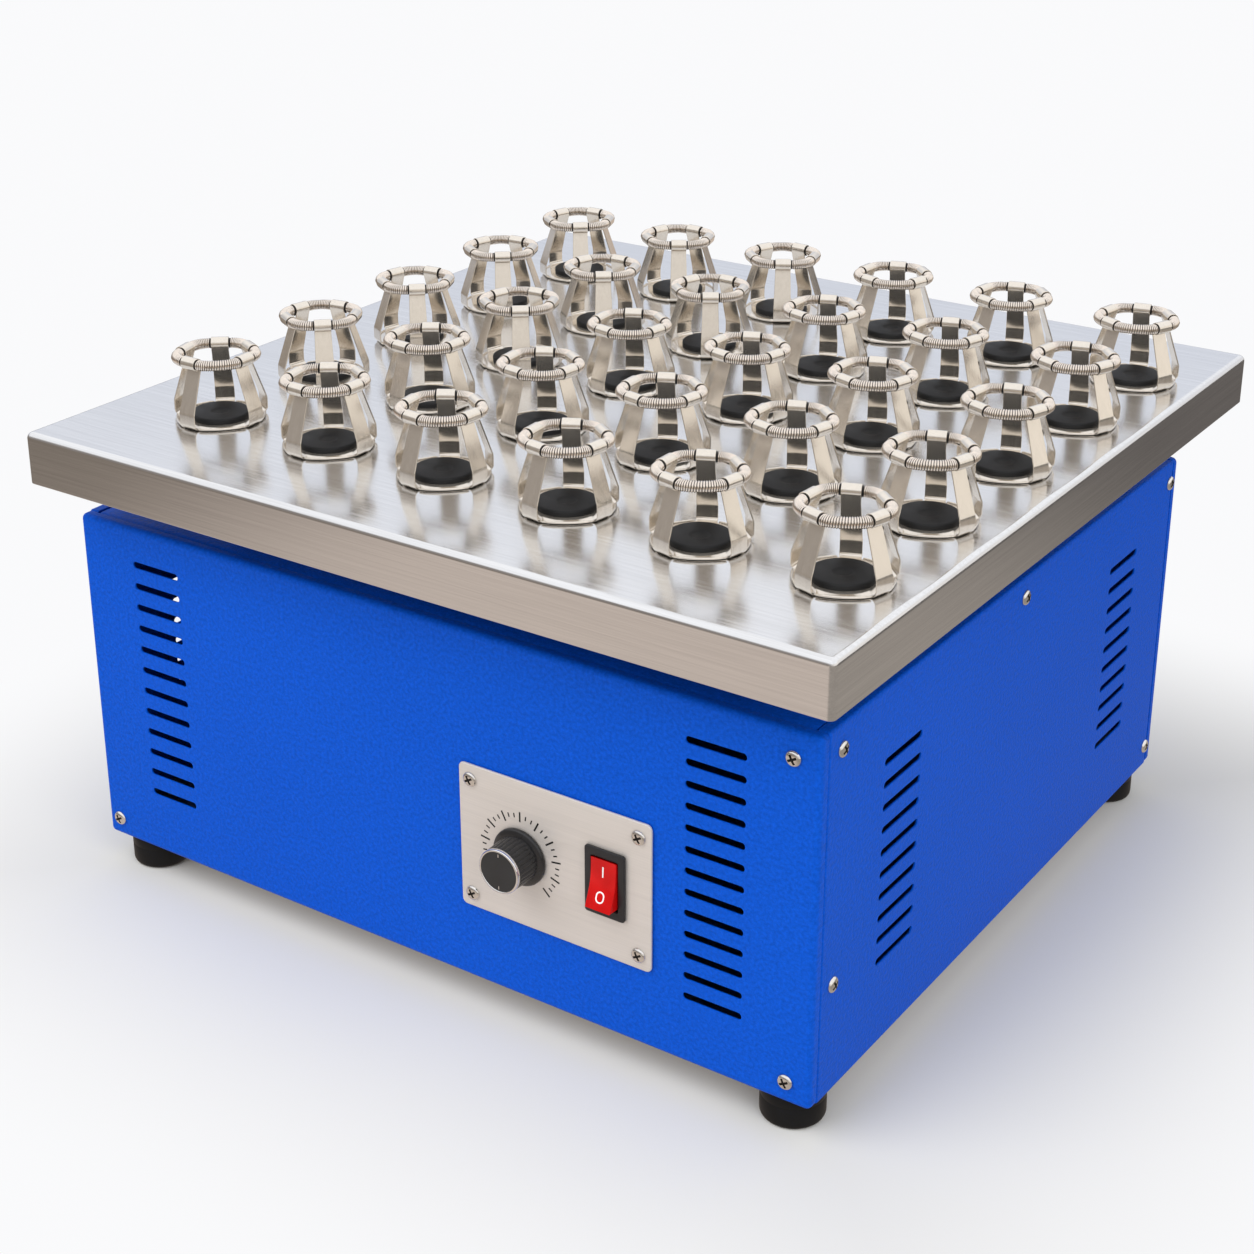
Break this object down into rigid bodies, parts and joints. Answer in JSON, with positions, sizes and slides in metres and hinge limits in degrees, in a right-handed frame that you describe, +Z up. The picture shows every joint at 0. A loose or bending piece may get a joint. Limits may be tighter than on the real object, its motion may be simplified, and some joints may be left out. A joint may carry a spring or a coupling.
{
  "type": "rotary flask shaker",
  "caption": "Bench shaker whose square tray of sprung flask clamps orbits flat on cranks above a vented cabinet, with a speed knob and a rocker switch.",
  "frame": {"origin": "on the floor under the middle of the tray when it is at rest", "axes": "+Z up, -Y the front with the controls, +X to the right when the front is faced"},
  "size_m": [0.61, 0.61, 0.3901],
  "materials": {
    "blue_paint": "textured royal-blue powder coat",
    "stainless": "brushed",
    "satin_steel": "satin",
    "steel": "turned",
    "aluminium": "turned and cast",
    "zinc": "zinc plated",
    "cast_iron": "as cast",
    "dark_paint": "satin dark grey",
    "pale_metal": "fine brushed, anodised",
    "black_plastic": "gloss",
    "red_plastic": "gloss",
    "rubber": "matt"
  },
  "bodies": {
    "cabinet": {"front_panel": "blue_paint", "rear_panel": "blue_paint", "side_panel_left": "blue_paint", "side_panel_right": "blue_paint", "deck": "blue_paint", "base_pan": "zinc", "foot_1": "rubber", "foot_2": "rubber", "foot_3": "rubber", "foot_4": "rubber", "main_bearing_housing": "cast_iron", "motor": "dark_paint", "motor_plate": "zinc", "belt": "rubber", "control_plate": "pale_metal", "speed_controller": "dark_paint", "switch_bezel": "black_plastic", "mains_inlet": "black_plastic"},
    "crank": {"main_crank": "steel", "drive_pulley": "aluminium", "counterweight": "cast_iron"},
    "platform": {"platform_tray": "stainless", "carriage": "aluminium", "flask_clamp_01": "satin_steel", "flask_clamp_02": "satin_steel", "flask_clamp_03": "satin_steel", "flask_clamp_04": "satin_steel", "flask_clamp_05": "satin_steel", "flask_clamp_06": "satin_steel", "flask_clamp_07": "satin_steel", "flask_clamp_08": "satin_steel", "flask_clamp_09": "satin_steel", "flask_clamp_10": "satin_steel", "flask_clamp_11": "satin_steel", "flask_clamp_12": "satin_steel", "flask_clamp_13": "satin_steel", "flask_clamp_14": "satin_steel", "flask_clamp_15": "satin_steel", "flask_clamp_16": "satin_steel", "flask_clamp_17": "satin_steel", "flask_clamp_18": "satin_steel", "flask_clamp_19": "satin_steel", "flask_clamp_20": "satin_steel", "flask_clamp_21": "satin_steel", "flask_clamp_22": "satin_steel", "flask_clamp_23": "satin_steel", "flask_clamp_24": "satin_steel", "flask_clamp_25": "satin_steel", "flask_clamp_26": "satin_steel", "flask_clamp_27": "satin_steel", "flask_clamp_28": "satin_steel", "flask_clamp_29": "satin_steel", "flask_clamp_30": "satin_steel"},
    "idler_1": {"idler_crank_1": "steel"},
    "idler_2": {"idler_crank_2": "steel"},
    "idler_3": {"idler_crank_3": "steel"},
    "idler_4": {"idler_crank_4": "steel"},
    "motor_rotor": {"motor_pulley": "aluminium"},
    "knob": {"speed_knob": "black_plastic"},
    "rocker": {"switch_rocker": "red_plastic"}
  },
  "joints": [
    {"name": "crank_spin", "type": "hinge", "parent": "cabinet", "child": "crank", "pos_m": [-0.01036, -0.00699, 0.2723], "axis": [0, 0, 1], "continuous": true},
    {"name": "platform_swivel", "type": "hinge", "parent": "crank", "child": "platform", "pos_m": [0, 0, 0.334], "axis": [0, 0, 1], "continuous": true},
    {"name": "idler_1_spin", "type": "hinge", "parent": "cabinet", "child": "idler_1", "pos_m": [-0.21036, -0.20699, 0.2723], "axis": [0, 0, 1], "continuous": true},
    {"name": "idler_2_spin", "type": "hinge", "parent": "cabinet", "child": "idler_2", "pos_m": [0.18964, -0.20699, 0.2723], "axis": [0, 0, 1], "continuous": true},
    {"name": "idler_3_spin", "type": "hinge", "parent": "cabinet", "child": "idler_3", "pos_m": [0.18964, 0.19301, 0.2723], "axis": [0, 0, 1], "continuous": true},
    {"name": "idler_4_spin", "type": "hinge", "parent": "cabinet", "child": "idler_4", "pos_m": [-0.21036, 0.19301, 0.2723], "axis": [0, 0, 1], "continuous": true},
    {"name": "motor_spin", "type": "hinge", "parent": "cabinet", "child": "motor_rotor", "pos_m": [-0.16725, 0.09105, 0.211], "axis": [0, 0, 1], "continuous": true},
    {"name": "speed_knob_turn", "type": "hinge", "parent": "cabinet", "child": "knob", "pos_m": [0.07224, -0.27129, 0.1298], "axis": [0, 1, 0], "range_deg": [-135, 135]},
    {"name": "switch_rock", "type": "hinge", "parent": "cabinet", "child": "rocker", "pos_m": [0.13674, -0.27229, 0.1333], "axis": [1, 0, 0], "range_deg": [0, 24]}
  ],
  "couplings": [
    {"joint": "platform_swivel", "follows": "crank_spin", "ratio": -1},
    {"joint": "idler_1_spin", "follows": "crank_spin", "ratio": 1},
    {"joint": "idler_2_spin", "follows": "crank_spin", "ratio": 1},
    {"joint": "idler_3_spin", "follows": "crank_spin", "ratio": 1},
    {"joint": "idler_4_spin", "follows": "crank_spin", "ratio": 1},
    {"joint": "motor_spin", "follows": "crank_spin", "ratio": 4}
  ]
}
